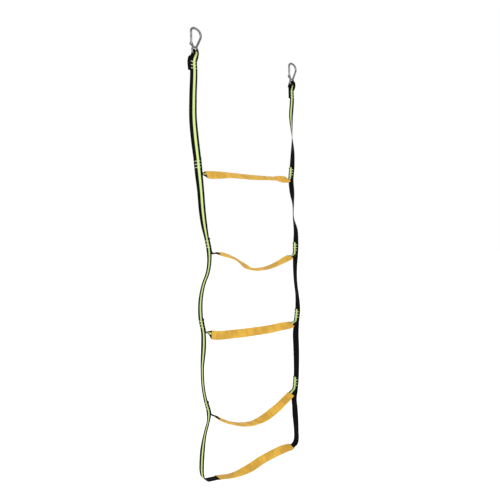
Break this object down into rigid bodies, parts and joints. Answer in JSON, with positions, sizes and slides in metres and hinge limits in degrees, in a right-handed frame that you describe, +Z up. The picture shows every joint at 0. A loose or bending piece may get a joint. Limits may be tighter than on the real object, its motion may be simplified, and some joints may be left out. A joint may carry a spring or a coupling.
{
  "type": "escape ladder",
  "caption": "Hanging escape ladder of striped flat webbing: side straps looped to spring hooks carry sewn webbing rungs in soft sleeves.",
  "frame": {"origin": "seat under the left hook's bow, where the rail or anchor bears", "axes": "+X along the rungs to the right hook, +Y from the striped front at the hooks to the back, +Z up"},
  "size_m": [0.4772, 0.0318, 1.4486],
  "materials": {
    "steel": "plated bright steel, lightly scuffed",
    "spring_steel": "oiled spring wire",
    "webbing": "black woven webbing with a lime stripe on one face",
    "sleeve": "golden yellow woven sleeve",
    "thread": "lime polyester thread"
  },
  "bodies": {
    "hooks": {"left_hook": "steel", "left_gate_rivet": "steel", "right_hook": "steel", "right_gate_rivet": "steel"},
    "left_gate": {"left_gate": "steel", "left_latch_pin": "steel", "left_gate_plunger": "steel", "left_gate_spring": "spring_steel"},
    "right_gate": {"right_gate": "steel", "right_latch_pin": "steel", "right_gate_plunger": "steel", "right_gate_spring": "spring_steel"},
    "strap_heads": {"left_eye_loop": "webbing", "left_strap_head": "webbing", "left_folded_end": "webbing", "right_eye_loop": "webbing", "right_strap_head": "webbing", "right_folded_end": "webbing", "head_tacks": "thread"},
    "rung_1": {"left_strap_bay_1": "webbing", "right_strap_bay_1": "webbing", "left_strap_seam_1": "webbing", "right_strap_seam_1": "webbing", "rung_strap_1": "webbing", "sleeve_1": "sleeve", "seam_tacks_1": "thread"},
    "rung_2": {"left_strap_bay_2": "webbing", "right_strap_bay_2": "webbing", "left_strap_seam_2": "webbing", "right_strap_seam_2": "webbing", "rung_strap_2": "webbing", "sleeve_2": "sleeve", "seam_tacks_2": "thread"},
    "rung_3": {"left_strap_bay_3": "webbing", "right_strap_bay_3": "webbing", "left_strap_seam_3": "webbing", "right_strap_seam_3": "webbing", "rung_strap_3": "webbing", "sleeve_3": "sleeve", "seam_tacks_3": "thread"},
    "rung_4": {"left_strap_bay_4": "webbing", "right_strap_bay_4": "webbing", "left_strap_seam_4": "webbing", "right_strap_seam_4": "webbing", "rung_strap_4": "webbing", "sleeve_4": "sleeve", "seam_tacks_4": "thread"},
    "bottom_rung": {"left_strap_bay_5": "webbing", "right_strap_bay_5": "webbing", "bottom_strap": "webbing", "sleeve_5": "sleeve"}
  },
  "joints": [
    {"name": "left_gate_hinge", "type": "hinge", "parent": "hooks", "child": "left_gate", "pos_m": [-0.015, 0, -0.047], "axis": [0, 1, 0], "range_deg": [0, 25], "stiffness_Nm_per_rad": 0.4, "springref_deg": -28.65},
    {"name": "right_gate_hinge", "type": "hinge", "parent": "hooks", "child": "right_gate", "pos_m": [0.413, 0, -0.047], "axis": [0, 1, 0], "range_deg": [0, 25], "stiffness_Nm_per_rad": 0.4, "springref_deg": -28.65},
    {"name": "eye_swing", "type": "hinge", "parent": "hooks", "child": "strap_heads", "pos_m": [0.207, 0, -0.0748], "axis": [1, 0, 0], "range_deg": [-100, 100], "deforming": ["left_eye_loop", "right_eye_loop"]},
    {"name": "fold_top", "type": "hinge", "parent": "strap_heads", "child": "rung_1", "pos_m": [0.207, 0, -0.262], "axis": [-1, 0, 0], "range_deg": [-150, 150], "deforming": ["left_strap_bay_1", "right_strap_bay_1"]},
    {"name": "fold_1", "type": "hinge", "parent": "rung_1", "child": "rung_2", "pos_m": [0.207, 0, -0.545], "axis": [1, 0, 0], "range_deg": [-160, 160], "deforming": ["left_strap_bay_2", "right_strap_bay_2"]},
    {"name": "fold_2", "type": "hinge", "parent": "rung_2", "child": "rung_3", "pos_m": [0.207, 0, -0.805], "axis": [-1, 0, 0], "range_deg": [-160, 160], "deforming": ["left_strap_bay_3", "right_strap_bay_3"]},
    {"name": "fold_3", "type": "hinge", "parent": "rung_3", "child": "rung_4", "pos_m": [0.207, 0, -1.062], "axis": [1, 0, 0], "range_deg": [-160, 160], "deforming": ["left_strap_bay_4", "right_strap_bay_4"]},
    {"name": "fold_4", "type": "hinge", "parent": "rung_4", "child": "bottom_rung", "pos_m": [0.207, 0, -1.3], "axis": [-1, 0, 0], "range_deg": [-160, 160], "deforming": ["left_strap_bay_5", "right_strap_bay_5"]}
  ]
}
